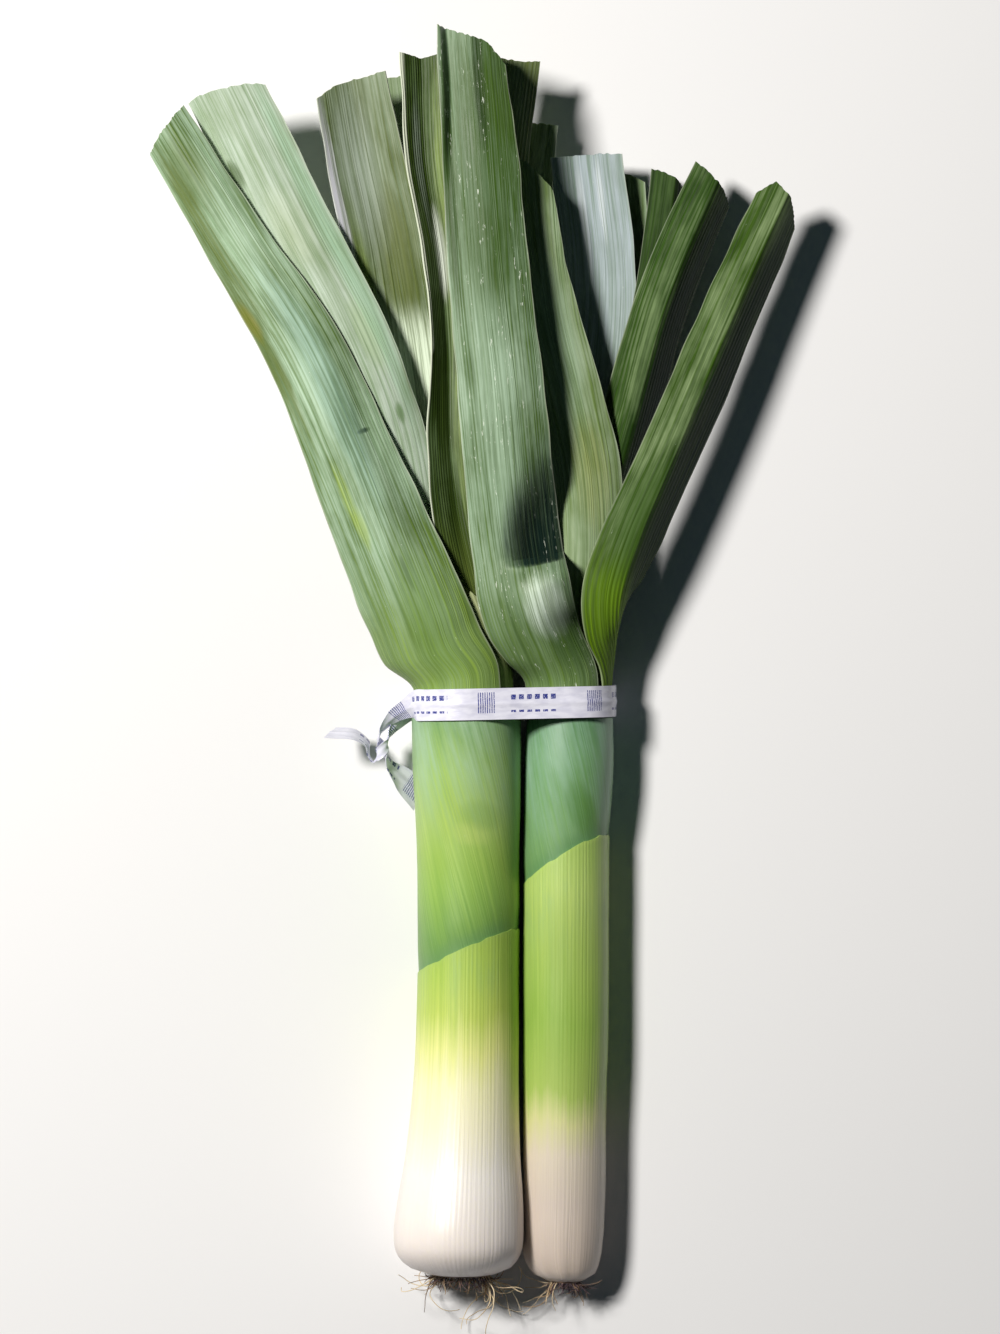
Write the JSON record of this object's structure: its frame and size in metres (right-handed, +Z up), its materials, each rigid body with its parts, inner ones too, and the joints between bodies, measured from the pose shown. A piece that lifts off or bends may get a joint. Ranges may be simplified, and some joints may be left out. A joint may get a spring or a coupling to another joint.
{
  "type": "leek bunch",
  "caption": "Tied bunch of fresh leeks lying on its side: white bulbs with roots, slanting collars, spreading trimmed leaf blades and a flat twist tie round the necks.",
  "frame": {"origin": "on the supporting surface, under the middle of the bunch's bounding box", "axes": "+Y from the roots to the leaf tips, +Z up from the surface that the bunch lies on, +X to the right as seen from above with the tips away"},
  "size_m": [0.2564, 0.512, 0.0622],
  "materials": {
    "shank": "satin green plant skin with a waxy bloom",
    "sheath": "satin white bulb that turns yellow-green towards its rim",
    "leaf_blade": "matt blue-green leaf with parallel veins and a waxy bloom",
    "roots": "dry, fibrous and tan",
    "tie_strip": "smooth white film with a plain blue print",
    "tie_wire": "drawn soft iron wire"
  },
  "bodies": {
    "root": {"left_back_blade": "leaf_blade", "left_broad_blade": "leaf_blade", "left_floor_blade": "leaf_blade", "left_folded_blade": "leaf_blade", "left_front_blade": "leaf_blade", "left_inner_blade": "leaf_blade", "left_roots": "roots", "left_second_blade": "leaf_blade", "left_shank": "shank", "left_sheath": "sheath", "left_torn_blade": "leaf_blade", "right_floor_blade": "leaf_blade", "right_front_blade": "leaf_blade", "right_hidden_blade": "leaf_blade", "right_low_ridged_blade": "leaf_blade", "right_middle_blade": "leaf_blade", "right_pale_blade": "leaf_blade", "right_ridged_blade": "leaf_blade", "right_roots": "roots", "right_shank": "shank", "right_sheath": "sheath", "right_side_blade": "leaf_blade", "tie_strip": "tie_strip", "tie_wire": "tie_wire"}
  },
  "joints": []
}
